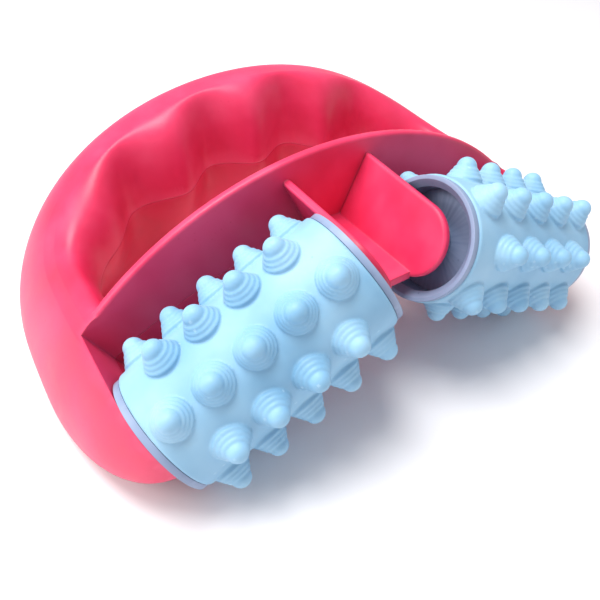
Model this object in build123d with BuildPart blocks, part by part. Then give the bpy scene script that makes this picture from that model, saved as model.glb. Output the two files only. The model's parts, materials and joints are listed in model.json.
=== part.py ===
from build123d import *

import os
from math import acos, cos, degrees, pi, radians, sin, sqrt

# Hand-held twin roller massager. A bowed D-shaped grip made of two half shells carries two
# spiked rollers, which lie in a shallow V and turn freely on steel axles.
# Millimetres. X runs along the width, +Y towards the palm grip, +Z up from the resting plane.
# The origin is under the middle of the object, on the plane that it rests on.

# ---- driving dimensions: rollers ----
sleeve_radius = 17.5
sleeve_length = 61.0
axle_tilt = 25.5  # degrees that each axle falls towards its outer end
inner_end_offset = 12.1  # from the middle plane to the centre of a sleeve's inner end
axle_peak_height = 45.0  # height of that centre above the resting plane
core_radius = 15.4
core_wall = 1.3
core_lip = 1.8  # the core's flange sticks out this far past the sleeve
core_lip_radius = 17.0
rim_chamfer = 1.8
hub_web_thickness = 2.5
hub_web_depth = 7.3  # from the core's end face down to the hub's web
hub_barrel_radius = 5.0
hub_barrel_length = 9.0
axle_radius = 2.0
washer_radius = 4.6
washer_thickness = 0.8

# ---- driving dimensions: spikes on the sleeves ----
spike_height = 6.1
spike_base_radius = 4.9
spike_tip_radius = 2.8
spike_tiers = 3
spike_sink = 1.0  # that a spike's root goes into the sleeve
sleeve_edge_radius = 0.8
spike_tier_bulge = 0.35
spike_pitch = 12.0
spike_rows = 8
spikes_in_even_row = 5
spikes_in_odd_row = 4
left_roller_turn = -34.3  # degrees of the first row from straight up, towards the front
right_roller_turn = -24.9

# ---- driving dimensions: frame ----
frame_half_width = 89.8
grip_reach = 102.5  # from the axles to the back of the palm grip
shoulder_reach = 40.0  # from the axles to the widest place of the frame
nose_reach = 15.0  # from the axles to the front of the end lobes
nose_half_width = 66.0  # from the middle plane to the foremost point of a lobe
nose_width = 14.0  # of a lobe, measured back from its foremost point
nose_depth = 5.0  # of the lower shell at that point
limb_width = 24.3
grip_width = 33.5  # between two finger grooves
outline_power = 4.0  # squareness of the outlines' corners; 2 is an ellipse
parting_peak = -6.0  # parting surface in the middle plane, above the axle peak
parting_drop = 34.0  # that the bowed parting surface falls from there to the frame's sides
crest_peak = 18.8
crest_drop = 48.0
sole_peak = -38.0
sole_drop = 12.0
sole_sink = 2.0  # that the underside is ground off where it meets the resting plane
outer_round_share = 0.5  # of a section's width that its rounded outer side takes
inner_round_share = 0.36
upper_roundness = 0.6
lower_roundness = 0.2
shell_wall = 2.3
groove_pitch = 27.0
groove_count = 4
groove_depth = 8.0
stations_per_groove = 4
corner_angles = (34, 24, 14, 8, 4, 1)
lobe_angles = (90, 75, 60, 47, 35, 24, 14, 6)
bay_reach = 28.6  # from the axles to the front face of the back wall
back_wall_thickness = 2.8
wall_edge_radius = 1.0
lobe_fill_reach = 6.0  # in front of the axles, of the block behind an end wall
lobe_fill_depth = 10.0  # of that block below the parting surface
crest_fill_drop = 0.5  # from the crest down to the tops of the block and of the back wall

# ---- driving dimensions: middle bracket, axle sockets and screws ----
tab_thickness = 2.3
tab_top = 11.8  # above the axle, at the back wall
tab_nose_radius = 10.3
tab_foot = 9.6  # that a tab reaches below the axle
trough_floor_drop = 5.2  # below the axle peak
trough_floor_thickness = 2.4
trough_floor_reach = 4.1  # in front of the axles
tab_edge_radius = 0.8
boss_radius = 6.5
boss_height = 4.0
seat_radius = 3.6
screw_radius = 1.5
screw_head_radius = 2.8
screw_head_height = 1.8
screw_boss_radius = 4.2
screw_places = ((0.0, 84.0), (58.0, 76.0), (77.0, 40.0))  # across, and from the axles
screw_bite = 9.0  # how far a screw reaches above the parting surface
screw_seat_drop = 10.0  # from the parting surface down to the underside of its head

# ---- clearances ----
end_gap = 0.5  # core's end face to the walls beside it
axle_clearance = 0.05  # hub on axle, radial
washer_gap = 0.3
seat_clearance = 0.05
axle_end_gap = 0.3
screw_hole_clearance = 0.25
press_gap = 0.02  # between pieces of one body that are pushed together
parting_gap = 0.04

# ---- worked-out places ----
tip_orbit = sleeve_radius + spike_height - spike_tip_radius
row_step = 360 / spike_rows
front_reach = spike_tip_radius + tip_orbit * max(
    sin(radians(turn + row_step * row))
    for turn in (left_roller_turn, right_roller_turn)
    for row in range(spike_rows)
)
axle_y = (front_reach - grip_reach) / 2
wall_face = core_lip + end_gap  # from a sleeve's end to the wall beside it
washer_start = boss_height - wall_face + washer_gap  # from a sleeve's end
barrel_start = washer_start + washer_thickness + washer_gap
core_bore = core_radius - core_wall
hole_half_width = frame_half_width - limb_width
far = 400.0

os.makedirs("parts", exist_ok=True)


def save(piece, label):
    piece.part.label = label
    export_step(piece.part, f"parts/{label}.step")


def arc_radius(drop):
    """Radius of an arc across the frame that falls by drop from its middle to its sides."""
    return (frame_half_width**2 + drop**2) / (2 * drop)


def arc_height(peak, drop, x):
    radius = arc_radius(drop)
    return axle_peak_height + peak - radius + sqrt(radius**2 - x**2)


def parting_height(x):
    return arc_height(parting_peak, parting_drop, x)


def crest_height(x):
    return arc_height(crest_peak, crest_drop, x)


def sole_height(x):
    return max(arc_height(sole_peak, sole_drop, x), -sole_sink)


def axle_plane(side, s):
    """Plane square to an axle, s outward from the sleeve's inner end; local X points up."""
    tilt = radians(axle_tilt)
    along = Vector(side * cos(tilt), 0, -sin(tilt))
    start = Vector(side * inner_end_offset, axle_y, axle_peak_height)
    return Plane(start + along * s, x_dir=(side * sin(tilt), 0, cos(tilt)), z_dir=along)


def section_plane(side):
    """Plane that holds an axle: local X outward along it, local Y up from it."""
    square = axle_plane(side, 0)
    return Plane(square.origin, x_dir=square.z_dir, z_dir=(0, -side, 0))


def axle_axis(side):
    square = axle_plane(side, 0)
    return Axis(square.origin, square.z_dir)


# ---- frame shapes ----


def outline_point(half_width, back, angle):
    """Point of a squarish outline; angle 0 is the shoulder and 90 the back's middle."""
    power = 2 / outline_power
    depth = back - shoulder_reach
    return half_width * cos(radians(angle)) ** power, shoulder_reach + depth * sin(radians(angle)) ** power


def grip_station(angle):
    """Outer point, inner point, groove depth and share of the nose, at an angle of the outline."""
    outer = outline_point(frame_half_width, grip_reach, angle)
    inner = outline_point(hole_half_width, grip_reach - grip_width, angle)
    waves = groove_count * groove_pitch / 2
    groove = groove_depth * sin(pi * inner[0] / groove_pitch) ** 2 if inner[0] < waves else 0.0
    return outer, inner, groove, 0.0


def lobe_station(angle):
    """The same for a lobe, whose outer edge is a quarter ellipse from shoulder to nose."""
    forward = sin(radians(angle))
    outer_x = nose_half_width + (frame_half_width - nose_half_width) * cos(radians(angle))
    outer_reach = shoulder_reach - (shoulder_reach + nose_reach) * forward
    inner_reach = shoulder_reach - (shoulder_reach + nose_reach - nose_width) * forward
    return (outer_x, outer_reach), (hole_half_width, inner_reach), 0.0, forward


def grip_stations():
    """Stations along the right half, front to back."""
    stations = [lobe_station(angle) for angle in lobe_angles]
    stations += [grip_station(0)]
    stations += [grip_station(angle) for angle in reversed(corner_angles)]
    for count in range(groove_count * stations_per_groove // 2, -1, -1):
        across = count * groove_pitch / stations_per_groove
        share = across / hole_half_width
        stations.append(grip_station(degrees(acos(share ** (outline_power / 2)))))
    return stations


def grip_section(outer, inner, groove, nose, side, inset):
    """One rounded slice of the frame, upright, across the line from inner to outer."""
    start = Vector(side * inner[0], axle_y + inner[1], 0)
    across = Vector(side * outer[0], axle_y + outer[1], 0) - start
    width = across.length
    across = across.normalized()
    crest_in = inner_round_share * width
    crest_out = width - outer_round_share * width

    def upper(u, share):
        x = start.X + across.X * u
        height = crest_height(x) - parting_height(x) - inset
        return u, parting_height(x) + share * height

    def lower(u, share):
        x = start.X + across.X * u
        depth = parting_height(x) - sole_height(x)
        depth += nose * (nose_depth - depth) - inset
        return u, parting_height(x) - share * depth

    def rounded(edge, crest, level, roundness):
        bend = edge + (1 - roundness) * (crest - edge)
        return level(edge, 0), level(edge, roundness), level(bend, 1), level(crest, 1)

    with BuildSketch(Plane(start, x_dir=across, z_dir=(across.Y, -across.X, 0))) as section:
        with BuildLine():
            for level, roundness in ((upper, upper_roundness), (lower, lower_roundness)):
                Bezier(*rounded(groove + inset, crest_in, level, roundness))
                Bezier(*rounded(width - inset, crest_out, level, roundness))
                Line(level(crest_in, 1), level(crest_out, 1))
        make_face()
    return section.sketch


def grip_loft(inset):
    """Lobes, limbs and palm grip as one rounded bar, drawn in by inset."""
    right_half = grip_stations()
    sections = [grip_section(*station, 1, inset) for station in right_half]
    sections += [grip_section(*station, -1, inset) for station in reversed(right_half[:-1])]
    with BuildPart() as bar:
        loft(sections)
    return bar.part


def arc_circle(peak, drop, mode):
    """Circle that holds one of the arcs across the frame."""
    radius = arc_radius(drop)
    with Locations((0, axle_peak_height + peak - radius)):
        Circle(radius, mode=mode)


def arched_plate(half_width, front, deep, under_peak, under_drop):
    """Upright plate across the frame, from just below the crest down to an arc."""
    with BuildPart() as plate:
        with BuildSketch(Plane.XZ.offset(-front)):
            arc_circle(crest_peak - crest_fill_drop, crest_drop, Mode.ADD)
            arc_circle(under_peak, under_drop, Mode.SUBTRACT)
            Rectangle(2 * half_width, far, mode=Mode.INTERSECT)
        extrude(amount=-deep)
        fillet(plate.edges().filter_by(GeomType.CIRCLE).group_by(Axis.Z)[-1], wall_edge_radius)
    return plate.part


def below_parting(drop):
    """Everything under the bowed parting surface."""
    with BuildPart() as under:
        with BuildSketch(Plane.XZ):
            arc_circle(parting_peak - drop, parting_drop, Mode.ADD)
        extrude(amount=far / 2, both=True)
    return under.part


def end_wall_x(z, grow):
    """Distance from the middle plane to an end wall at height z."""
    tilt = radians(axle_tilt)
    square = sleeve_length + wall_face + grow
    return inner_end_offset + (square + (z - axle_peak_height) * sin(tilt)) / cos(tilt)


def roller_bay(grow):
    """Space between the end walls and in front of the back wall, grown outwards."""
    low = -axle_peak_height
    high = 3 * axle_peak_height
    with BuildPart() as bay:
        with BuildSketch(Plane.XZ.offset(-(axle_y + bay_reach + grow))):
            with BuildLine():
                Polyline(
                    (end_wall_x(low, grow), low),
                    (end_wall_x(high, grow), high),
                    (-end_wall_x(high, grow), high),
                    (-end_wall_x(low, grow), low),
                    close=True,
                )
            make_face()
        extrude(amount=far)
    return bay.part


def screw_centres():
    for across, reach in screw_places:
        for side in (-1, 1) if across else (1,):
            yield side * across, axle_y + reach


def upright(x, y, low, high, radius):
    """Upright cylinder between two heights."""
    with BuildPart() as bar:
        with BuildSketch(Plane.XY.offset(low)):
            with Locations((x, y)):
                Circle(radius)
        extrude(amount=high - low)
    return bar.part


def axle_socket(side, s, opening):
    """Round boss on a wall with a slot that the axle's seat slides into; opening 1 is up."""
    reach = 2 * boss_radius
    width = 2 * (seat_radius + seat_clearance)
    with BuildPart() as boss:
        with BuildSketch(axle_plane(side, s)):
            Circle(boss_radius)
            Circle(width / 2, mode=Mode.SUBTRACT)
            with Locations((opening * reach / 2, 0)):
                Rectangle(reach, width, mode=Mode.SUBTRACT)
        extrude(amount=boss_height)
    return boss.part


def frame_solid():
    """Outer shape of the two half shells together."""
    fill_x = hole_half_width + limb_width / 4
    fill_front = axle_y - lobe_fill_reach
    fill_deep = lobe_fill_reach + bay_reach
    wall_x = hole_half_width + limb_width / 2
    with BuildPart() as solid:
        add(grip_loft(0))
        add(arched_plate(fill_x, fill_front, fill_deep, parting_peak - lobe_fill_depth, parting_drop))
        add(arched_plate(wall_x, axle_y + bay_reach, back_wall_thickness, sole_peak, sole_drop))
        add(roller_bay(0), mode=Mode.SUBTRACT)
    return solid.part


def hollow_space():
    """Space inside the two half shells."""
    with BuildPart() as space:
        add(grip_loft(shell_wall))
        add(roller_bay(shell_wall), mode=Mode.SUBTRACT)
        add(upright(0, 0, -far, shell_wall, far), mode=Mode.SUBTRACT)
        for x, y in screw_centres():
            add(upright(x, y, -far, far, screw_boss_radius), mode=Mode.SUBTRACT)
    return space.part


frame_outer = frame_solid()
frame_hollow = hollow_space()

def bracket_tab(side):
    """Tab square to an axle, from the back wall to a round nose about the axle's end."""
    with BuildPart() as tab:
        with BuildSketch(axle_plane(side, -wall_face - tab_thickness)):
            Circle(tab_nose_radius)
            with BuildLine():
                Polyline(
                    (tab_top, -side * bay_reach),
                    (tab_nose_radius, 0),
                    (-tab_nose_radius, 0),
                    (-tab_nose_radius, -side * bay_reach),
                    close=True,
                )
            make_face()
            with Locations((far / 2 - tab_foot, 0)):
                Rectangle(far, far, mode=Mode.INTERSECT)
        extrude(amount=tab_thickness)
        fillet(tab.faces().filter_by(axle_axis(side)).edges(), tab_edge_radius)
    return tab.part


def tab_middle_x(z):
    """Distance from the middle plane to the middle of a tab's thickness at height z."""
    return end_wall_x(z, -sleeve_length - 2 * wall_face - tab_thickness / 2)


def trough_floor():
    """Floor between the two tabs."""
    top = axle_peak_height - trough_floor_drop
    bottom = top - trough_floor_thickness
    with BuildPart() as floor:
        with BuildSketch(Plane.XZ.offset(-(axle_y + bay_reach))):
            with BuildLine():
                Polyline(
                    (tab_middle_x(bottom), bottom),
                    (tab_middle_x(top), top),
                    (-tab_middle_x(top), top),
                    (-tab_middle_x(bottom), bottom),
                    close=True,
                )
            make_face()
        extrude(amount=bay_reach + trough_floor_reach)
    return floor.part


with BuildPart() as upper_shell:
    add(frame_outer)
    add(frame_hollow, mode=Mode.SUBTRACT)
    add(below_parting(0), mode=Mode.SUBTRACT)
    for x, y in screw_centres():
        screw_top = parting_height(x) + screw_bite + axle_end_gap
        add(upright(x, y, 0, screw_top, screw_radius + press_gap), mode=Mode.SUBTRACT)
    add(trough_floor())
    for side in (-1, 1):
        add(bracket_tab(side))
        add(axle_socket(side, -wall_face, -1))
save(upper_shell, "upper_shell")

with BuildPart() as lower_shell:
    add(frame_outer)
    add(frame_hollow, mode=Mode.SUBTRACT)
    add(below_parting(parting_gap), mode=Mode.INTERSECT)
    add(upright(0, 0, -far, 0, far), mode=Mode.SUBTRACT)
    for x, y in screw_centres():
        seat_z = parting_height(x) - screw_seat_drop
        add(upright(x, y, -far, seat_z, screw_head_radius + screw_hole_clearance), mode=Mode.SUBTRACT)
        add(upright(x, y, 0, far, screw_radius + screw_hole_clearance), mode=Mode.SUBTRACT)
    for side in (-1, 1):
        add(axle_socket(side, sleeve_length + wall_face - boss_height, 1))
save(lower_shell, "lower_shell")

with BuildPart() as shell_screws:
    for x, y in screw_centres():
        seat_z = parting_height(x) - screw_seat_drop
        add(upright(x, y, seat_z - screw_head_height, seat_z, screw_head_radius))
        add(upright(x, y, seat_z, parting_height(x) + screw_bite, screw_radius))
save(shell_screws, "shell_screws")


# ---- rollers ----


def spike():
    """One stepped massage spike about local Z, its root sunk below local Z = 0."""
    rim_height = spike_height - spike_tip_radius
    tier_height = rim_height / spike_tiers
    tier_step = (spike_base_radius - spike_tip_radius) / spike_tiers
    with BuildPart() as cone:
        with BuildSketch(Plane.XZ):
            with BuildLine():
                Polyline((0, -spike_sink), (spike_base_radius, -spike_sink), (spike_base_radius, 0))
                for tier in range(spike_tiers):
                    SagittaArc(
                        (spike_base_radius - tier * tier_step, tier * tier_height),
                        (spike_base_radius - (tier + 1) * tier_step, (tier + 1) * tier_height),
                        -spike_tier_bulge,
                    )
                RadiusArc((spike_tip_radius, rim_height), (0, spike_height), -spike_tip_radius)
                Line((0, spike_height), (0, -spike_sink))
            make_face()
        revolve(axis=Axis.Z)
    return cone.part


def spike_planes(side, turn):
    """Planes on the sleeve's surface where its spikes stand."""
    for row in range(spike_rows):
        count = spikes_in_odd_row if row % 2 else spikes_in_even_row
        angle = radians(-side * (turn + row * row_step))
        for place in range(count):
            s = sleeve_length / 2 + (place - (count - 1) / 2) * spike_pitch
            square = axle_plane(side, s)
            outward = square.x_dir * cos(angle) + square.y_dir * sin(angle)
            yield Plane(square.origin + outward * sleeve_radius, x_dir=square.z_dir, z_dir=outward)


def turned(side, outline):
    """Solid turned about an axle from (distance along it, radius) points."""
    with BuildPart() as shape:
        with BuildSketch(section_plane(side)):
            with BuildLine():
                Polyline(*outline, close=True)
            make_face()
        revolve(axis=axle_axis(side))
    return shape.part


def ring_outline(start, end, bore, radius):
    return (start, bore), (end, bore), (end, radius), (start, radius)


one_spike = spike()
for side, name, turn in ((-1, "left", left_roller_turn), (1, "right", right_roller_turn)):
    with BuildPart() as sleeve:
        add(turned(side, ring_outline(0, sleeve_length, core_radius + press_gap, sleeve_radius)))
        fillet(sleeve.edges().filter_by(GeomType.CIRCLE).group_by(SortBy.RADIUS)[-1], sleeve_edge_radius)
        with Locations(*spike_planes(side, turn)):
            add(one_spike)
    save(sleeve, f"{name}_spiked_sleeve")

    with BuildPart() as core:
        half = (
            (-core_lip, core_bore + rim_chamfer),
            (-core_lip, core_lip_radius),
            (-press_gap, core_lip_radius),
            (-press_gap, core_radius),
        )
        far_half = tuple((sleeve_length - s, r) for s, r in reversed(half))
        chamfer_end = rim_chamfer - core_lip
        bore_ends = ((sleeve_length - chamfer_end, core_bore), (chamfer_end, core_bore))
        add(turned(side, half + far_half + bore_ends))
    save(core, f"{name}_core")

    outer_seat_start = sleeve_length + wall_face - boss_height
    ends = (("inner", 0, 1, -wall_face), ("outer", sleeve_length, -1, outer_seat_start))
    for end, origin, way, seat_start in ends:
        web_start = hub_web_depth - core_lip
        web_end = web_start + hub_web_thickness
        barrel_end = barrel_start + hub_barrel_length
        bore = axle_radius + axle_clearance
        with BuildPart() as hub:
            stations = (
                (barrel_start, bore),
                (barrel_start, hub_barrel_radius),
                (web_start, hub_barrel_radius),
                (web_start, core_bore - press_gap),
                (web_end, core_bore - press_gap),
                (web_end, hub_barrel_radius),
                (barrel_end, hub_barrel_radius),
                (barrel_end, bore),
            )
            add(turned(side, tuple((origin + way * s, r) for s, r in stations)))
        save(hub, f"{name}_{end}_hub")

        with BuildPart() as washer:
            near = origin + way * washer_start
            add(turned(side, ring_outline(near, near + way * washer_thickness, bore, washer_radius)))
        save(washer, f"{name}_{end}_washer")

        # A seat holds the axle's end in its socket: open end down in the bracket, up in the lobe.
        seat_length = 2 * boss_radius
        with BuildPart() as seat:
            with BuildSketch(axle_plane(side, seat_start)):
                Circle(seat_radius)
                with Locations((-way * seat_length / 2, 0)):
                    Rectangle(seat_length, 2 * seat_radius)
                Circle(boss_radius, mode=Mode.INTERSECT)
                Circle(axle_radius + press_gap, mode=Mode.SUBTRACT)
            extrude(amount=boss_height)
        save(seat, f"{name}_{end}_axle_seat")

    with BuildPart() as axle:
        start = axle_end_gap - wall_face
        add(turned(side, ring_outline(start, sleeve_length - start, 0, axle_radius)))
    save(axle, f"{name}_axle")
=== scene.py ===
import json
import math

import bpy
from mathutils import Matrix, Vector

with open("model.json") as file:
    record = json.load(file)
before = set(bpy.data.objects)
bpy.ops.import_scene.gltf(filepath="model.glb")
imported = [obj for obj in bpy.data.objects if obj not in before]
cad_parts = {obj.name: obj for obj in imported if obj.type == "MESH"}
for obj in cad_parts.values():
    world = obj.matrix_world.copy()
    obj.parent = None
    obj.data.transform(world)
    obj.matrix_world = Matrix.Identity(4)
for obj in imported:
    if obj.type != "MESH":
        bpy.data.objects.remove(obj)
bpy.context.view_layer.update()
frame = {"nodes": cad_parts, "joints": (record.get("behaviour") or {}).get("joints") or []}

MM = 0.001
NODES = frame["nodes"]

# ---- camera and stage ----
CAMERA_FROM_PEAK = (-0.08448, -0.08887, 0.09614)  # from the point where the axles would meet
CAMERA_AZIMUTH = 32.545
CAMERA_ELEVATION = 43.065
CAMERA_ROLL = 0.227
CAMERA_LENS = 35.085
SENSOR_WIDTH = 36.0
CLIP_START = 0.005
FLOOR_SIZE = 3.0
FLOOR_DULL = (0.90, 0.885, 0.895)
FLOOR_BRIGHT = (0.92, 0.905, 0.915)
FLOOR_CLOUDS = 3.0  # noise scale
FLOOR_ROUGHNESS = 0.6
WORLD_COLOUR = (0.97, 0.96, 1.0, 1.0)
WORLD_STRENGTH = 0.55
# each light: name, place, point that it faces, diameter, watts
LIGHTS = (
    ("overhead", (-0.12, 0.10, 0.75), (0, 0, 0), 0.45, 5.5),
    ("window", (-0.60, 0.20, 0.50), (0, 0, 0.03), 0.4, 2.6),
)

# ---- colours, linear ----
PINK = (0.80, 0.036, 0.125)
PINK_PALE = (0.86, 0.070, 0.175)
PINK_DEEP = (0.72, 0.024, 0.090)
# painted shade: darker pink for the lower shell, which faces away from the light
PAINTED_SHADE_PINK = (0.62, 0.018, 0.070)
BLUE = (0.31, 0.565, 0.775)
BLUE_PALE = (0.39, 0.64, 0.83)
BLUE_DEEP = (0.235, 0.48, 0.70)
GREY_BLUE = (0.20, 0.27, 0.43)
GREY_BLUE_PALE = (0.30, 0.38, 0.55)
HUB_GREY = (0.14, 0.19, 0.31)
WHITE_PLASTIC = (0.78, 0.78, 0.76)
WHITE_DEEP = tuple(0.95 * c for c in WHITE_PLASTIC)
STEEL = (0.62, 0.62, 0.64)
STEEL_DEEP = tuple(0.85 * c for c in STEEL)

# ---- texture of moulded surfaces: scales are per metre of object, depths in metres ----
NOISE_ROUGHNESS = 0.55
NOISE_LOW, NOISE_HIGH = 0.3, 0.7  # the noise rarely leaves this range
CLOUD_SCALE = 45.0
CLOUD_STOPS = (0.30, 0.50, 0.72)
SMEAR_SCALE = 90.0
SMEAR_SPREAD = (-0.05, 0.08)  # added to the roughness where smears are faint and strong
PAINTED_HIGHLIGHT_POINTINESS = (0.52, 0.60)  # pointiness where the painted edge highlight starts and is full
CREVICE_REACH = 6.0 * MM
CREVICE_RANGE = (0.2, 0.8)  # share of open sky where the shade is full and gone
NORMAL_SAMPLES = 8
SPECK_SCALE = 420.0
SPECK_SIZE = 0.16  # share of a Voronoi cell
SPECK_PATCH = 9.0  # cells across a patch that may hold specks
SPECK_GATE = (0.60, 0.66)  # noise where a patch starts and is full
WAVE_SCALE, WAVE_STRENGTH, WAVE_DEPTH = 70.0, 0.15, 0.3 * MM
FINE_STRENGTH, FINE_DEPTH = 0.35, 0.02 * MM
COARSE_STRENGTH, COARSE_DEPTH, COARSE_SHARE = 0.2, 0.03 * MM, 0.3
MOULDED_SPECULAR = 0.45
SOFT_RADIUS = (1.0, 0.7, 0.6)
SOFT_SCALE = 1.5 * MM
STEEL_MARKS = 900.0
STEEL_SPREAD = (-0.08, 0.10)
STEEL_STRENGTH, STEEL_DEPTH = 0.2, 0.02 * MM

# ---- mesh modifiers of the sleeves ----
SLEEVE_CELL = 0.30 * MM
SLEEVE_ROUNDS = 2
SMOOTH_FACTOR = 0.5

# sockets of Blender's Mix node when it mixes colours
MIX_FIRST, MIX_SECOND, MIX_RESULT = 6, 7, 2


def make_camera():
    azimuth, elevation = math.radians(CAMERA_AZIMUTH), math.radians(CAMERA_ELEVATION)
    forward = Vector(
        (
            math.sin(azimuth) * math.cos(elevation),
            math.cos(azimuth) * math.cos(elevation),
            -math.sin(elevation),
        )
    )
    right = forward.cross(Vector((0, 0, 1))).normalized()
    up = right.cross(forward)
    roll = Matrix.Rotation(math.radians(CAMERA_ROLL), 3, forward)
    right, up = roll @ right, roll @ up
    data = bpy.data.cameras.new("camera")
    data.lens = CAMERA_LENS
    data.sensor_width = SENSOR_WIDTH
    data.clip_start = CLIP_START
    camera = bpy.data.objects.new("camera", data)
    turn = Matrix((right, up, -forward)).transposed().to_4x4()
    place = Vector(frame["joints"][0]["pos_m"])
    place.x = 0.0
    camera.matrix_world = Matrix.Translation(place + Vector(CAMERA_FROM_PEAK)) @ turn
    bpy.context.scene.collection.objects.link(camera)
    bpy.context.scene.camera = camera


def area_light(name, place, aim, size, power):
    data = bpy.data.lights.new(name, "AREA")
    data.shape = "DISK"
    data.size = size
    data.energy = power
    light = bpy.data.objects.new(name, data)
    light.location = place
    light.rotation_euler = (Vector(aim) - Vector(place)).to_track_quat("-Z", "Y").to_euler()
    bpy.context.scene.collection.objects.link(light)


# ---- material helpers ----


def start_material(name):
    material = bpy.data.materials.new(name)
    material.use_nodes = True
    tree = material.node_tree
    return material, tree, tree.nodes["Principled BSDF"]


def object_noise(tree, scale, detail):
    place = tree.nodes.new("ShaderNodeTexCoord")
    noise = tree.nodes.new("ShaderNodeTexNoise")
    noise.inputs["Scale"].default_value = scale
    noise.inputs["Detail"].default_value = detail
    noise.inputs["Roughness"].default_value = NOISE_ROUGHNESS
    tree.links.new(place.outputs["Object"], noise.inputs["Vector"])
    return noise.outputs["Fac"]


def ramp(tree, source, stops):
    node = tree.nodes.new("ShaderNodeValToRGB")
    elements = node.color_ramp.elements
    for index, (position, colour) in enumerate(stops):
        element = elements[index] if index < 2 else elements.new(position)
        element.position = position
        element.color = (*colour, 1.0)
    tree.links.new(source, node.inputs["Fac"])
    return node.outputs["Color"]


def remap(tree, source, before, after=(0.0, 1.0)):
    """Carries a value from the range before to the range after, and holds it there."""
    node = tree.nodes.new("ShaderNodeMapRange")
    for socket, value in zip(("From Min", "From Max", "To Min", "To Max"), (*before, *after)):
        node.inputs[socket].default_value = value
    tree.links.new(source, node.inputs["Value"])
    return node.outputs["Result"]


def uneven_roughness(tree, shader, source, middle, spread):
    limits = tuple(middle + change for change in spread)
    result = remap(tree, source, (NOISE_LOW, NOISE_HIGH), limits)
    tree.links.new(result, shader.inputs["Roughness"])


def bump(tree, shader, source, strength, distance, under=None):
    node = tree.nodes.new("ShaderNodeBump")
    node.inputs["Strength"].default_value = strength
    node.inputs["Distance"].default_value = distance
    tree.links.new(source, node.inputs["Height"])
    if under is not None:
        tree.links.new(under, node.inputs["Normal"])
    tree.links.new(node.outputs["Normal"], shader.inputs["Normal"])
    return node.outputs["Normal"]


def painted_edge_highlight(tree):
    """1 on sharp outer edges, where a paler painted highlight goes, and 0 elsewhere."""
    geometry = tree.nodes.new("ShaderNodeNewGeometry")
    return remap(tree, geometry.outputs["Pointiness"], PAINTED_HIGHLIGHT_POINTINESS)


def mix_colour(tree, factor, first, second):
    """The colour output first where factor is 0, and the plain colour second where it is 1."""
    node = tree.nodes.new("ShaderNodeMix")
    node.data_type = "RGBA"
    tree.links.new(factor, node.inputs["Factor"])
    tree.links.new(first, node.inputs[MIX_FIRST])
    node.inputs[MIX_SECOND].default_value = (*second, 1.0)
    return node.outputs[MIX_RESULT]


def multiply(tree, source, tint):
    """Darkens a colour by a value from 0, black, to 1, unchanged."""
    node = tree.nodes.new("ShaderNodeMix")
    node.data_type = "RGBA"
    node.blend_type = "MULTIPLY"
    node.inputs["Factor"].default_value = 1.0
    tree.links.new(source, node.inputs[MIX_FIRST])
    tree.links.new(tint, node.inputs[MIX_SECOND])
    return node.outputs[MIX_RESULT]


def crevice_shade(tree, darkest):
    """1 in the open, falling to darkest in crevices: painted shade for the base colour."""
    node = tree.nodes.new("ShaderNodeAmbientOcclusion")
    node.samples = NORMAL_SAMPLES
    node.inputs["Distance"].default_value = CREVICE_REACH
    return remap(tree, node.outputs["AO"], CREVICE_RANGE, (darkest, 1.0))


def rounded_normal(tree, radius):
    """Normal that runs softly over moulded edges."""
    node = tree.nodes.new("ShaderNodeBevel")
    node.samples = NORMAL_SAMPLES
    node.inputs["Radius"].default_value = radius
    return node.outputs["Normal"]


def speckles(tree):
    """1 on small scattered specks, 0 elsewhere."""
    place = tree.nodes.new("ShaderNodeTexCoord")
    cells = tree.nodes.new("ShaderNodeTexVoronoi")
    cells.inputs["Scale"].default_value = SPECK_SCALE
    tree.links.new(place.outputs["Object"], cells.inputs["Vector"])
    speck = remap(tree, cells.outputs["Distance"], (SPECK_SIZE, 0.0))
    gate = remap(tree, object_noise(tree, SPECK_SCALE / SPECK_PATCH, detail=1.0), SPECK_GATE)
    both = tree.nodes.new("ShaderNodeMath")
    both.operation = "MULTIPLY"
    tree.links.new(speck, both.inputs[0])
    tree.links.new(gate, both.inputs[1])
    return both.outputs["Value"]


def moulded(name, tones, rough, grain, edge=0.0, soft=0.0, crevice=0.75):
    """Moulded plastic or rubber: cloudy colour, fine grain, scuffs, painted shade in crevices,
    painted highlights on sharp edges.

    tones are the deep, middle and pale colours. rough is the middle roughness, and grain the width
    of the finest grain. edge is the radius that moulded edges seem to have, soft the share of light
    that passes under the surface, and crevice the shade in the deepest crevices.
    """
    deep, _, pale = tones
    material, tree, shader = start_material(name)
    body = ramp(tree, object_noise(tree, CLOUD_SCALE, detail=3.0), tuple(zip(CLOUD_STOPS, tones)))
    # painted highlight: sharp outer edges take the pale tone
    highlighted = mix_colour(tree, painted_edge_highlight(tree), body, pale)
    dusted = mix_colour(tree, speckles(tree), highlighted, deep)
    # painted shade: the base colour darkens in crevices
    shaded = multiply(tree, dusted, crevice_shade(tree, crevice))
    tree.links.new(shaded, shader.inputs["Base Color"])
    smears = object_noise(tree, SMEAR_SCALE, detail=6.0)
    uneven_roughness(tree, shader, smears, rough, SMEAR_SPREAD)
    under = rounded_normal(tree, edge) if edge else None
    waves = object_noise(tree, WAVE_SCALE, detail=2.0)
    under = bump(tree, shader, waves, WAVE_STRENGTH, WAVE_DEPTH, under)
    fine = object_noise(tree, 1.0 / grain, detail=3.0)
    under = bump(tree, shader, fine, FINE_STRENGTH, FINE_DEPTH, under)
    coarse = object_noise(tree, COARSE_SHARE / grain, detail=2.0)
    bump(tree, shader, coarse, COARSE_STRENGTH, COARSE_DEPTH, under)
    shader.inputs["Specular IOR Level"].default_value = MOULDED_SPECULAR
    if soft:
        shader.inputs["Subsurface Weight"].default_value = soft
        shader.inputs["Subsurface Radius"].default_value = SOFT_RADIUS
        shader.inputs["Subsurface Scale"].default_value = SOFT_SCALE
    return material


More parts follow.
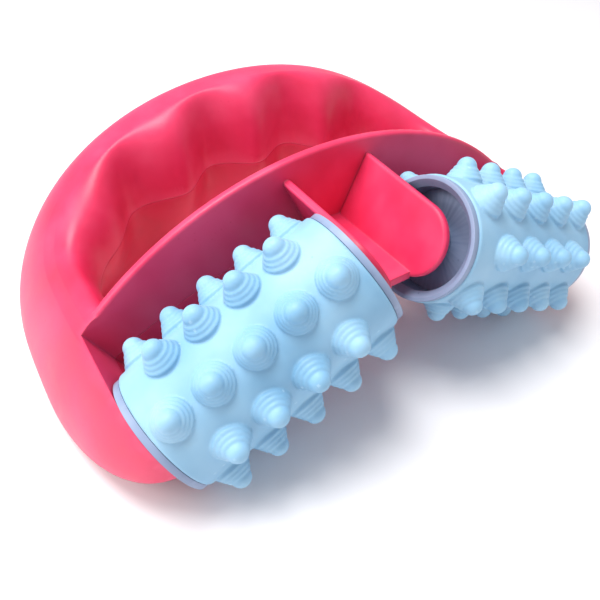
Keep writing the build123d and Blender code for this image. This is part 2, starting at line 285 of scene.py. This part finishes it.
def ground_steel(name, rough):
    material, tree, shader = start_material(name)
    marks = object_noise(tree, STEEL_MARKS, detail=6.0)
    tint = ramp(tree, marks, ((NOISE_LOW, STEEL_DEEP), (NOISE_HIGH, STEEL)))
    tree.links.new(tint, shader.inputs["Base Color"])
    uneven_roughness(tree, shader, marks, rough, STEEL_SPREAD)
    bump(tree, shader, marks, STEEL_STRENGTH, STEEL_DEPTH)
    shader.inputs["Metallic"].default_value = 1.0
    return material


def floor_material():
    material, tree, shader = start_material("pale_floor")
    clouds = object_noise(tree, FLOOR_CLOUDS, detail=4.0)
    tint = ramp(tree, clouds, ((NOISE_LOW, FLOOR_DULL), (NOISE_HIGH, FLOOR_BRIGHT)))
    tree.links.new(tint, shader.inputs["Base Color"])
    shader.inputs["Roughness"].default_value = FLOOR_ROUGHNESS
    return material


def make_stage():
    mesh = bpy.data.meshes.new("floor")
    half = FLOOR_SIZE / 2
    corners = [(-half, -half, 0), (half, -half, 0), (half, half, 0), (-half, half, 0)]
    mesh.from_pydata(corners, [], [(0, 1, 2, 3)])
    floor = bpy.data.objects.new("floor", mesh)
    floor.data.materials.append(floor_material())
    bpy.context.scene.collection.objects.link(floor)
    world = bpy.data.worlds.new("studio")
    world.use_nodes = True
    background = world.node_tree.nodes["Background"]
    background.inputs["Color"].default_value = WORLD_COLOUR
    background.inputs["Strength"].default_value = WORLD_STRENGTH
    bpy.context.scene.world = world
    for light in LIGHTS:
        area_light(*light)
    bpy.context.scene.view_settings.view_transform = "Standard"


def soften(node):
    """Melts the moulded steps of a soft piece together, as rubber looks."""
    remesh = node.modifiers.new("even_mesh", "REMESH")
    remesh.mode = "VOXEL"
    remesh.voxel_size = SLEEVE_CELL
    remesh.use_smooth_shade = True
    smooth = node.modifiers.new("soft_edges", "SMOOTH")
    smooth.factor = SMOOTH_FACTOR
    smooth.iterations = SLEEVE_ROUNDS


def dress(node, material):
    node.data.materials.clear()
    node.data.materials.append(material)


make_camera()
make_stage()

pink_tones = (PINK_DEEP, PINK, PINK_PALE)
painted_shade_tones = (PAINTED_SHADE_PINK, PINK_DEEP, PINK)
blue_tones = (BLUE_DEEP, BLUE, BLUE_PALE)
grey_tones = (HUB_GREY, GREY_BLUE, GREY_BLUE_PALE)
white_tones = (WHITE_DEEP, WHITE_PLASTIC, WHITE_PLASTIC)
white = moulded("white_plastic", white_tones, 0.4, 0.3 * MM)

# the material of each node, by its name for a shell or else by the last word of its name
UPPER, LOWER = "upper_shell", "lower_shell"
materials = {
    UPPER: moulded("pink_plastic", pink_tones, 0.40, 0.35 * MM, edge=0.8 * MM, soft=0.05),
    # painted shade: the lower shell is the same pink plastic in darker tones
    LOWER: moulded("pink_plastic_lower_painted_shade", painted_shade_tones, 0.44, 0.35 * MM, edge=0.6 * MM, soft=0.05),
    "sleeve": moulded("blue_rubber", blue_tones, 0.50, 0.25 * MM, soft=0.15, crevice=0.6),
    "core": moulded("grey_core_plastic", grey_tones, 0.38, 0.3 * MM, edge=0.3 * MM),
    "hub": moulded("hub_plastic", grey_tones, 0.42, 0.3 * MM, edge=0.3 * MM),
    "washer": white,
    "seat": white,
    "axle": ground_steel("steel", 0.30),
}
materials["screws"] = materials["axle"]

for name, node in NODES.items():
    kind = name if name in (UPPER, LOWER) else name.rsplit("_", 1)[-1]
    dress(node, materials[kind])
    if kind == "sleeve":
        soften(node)
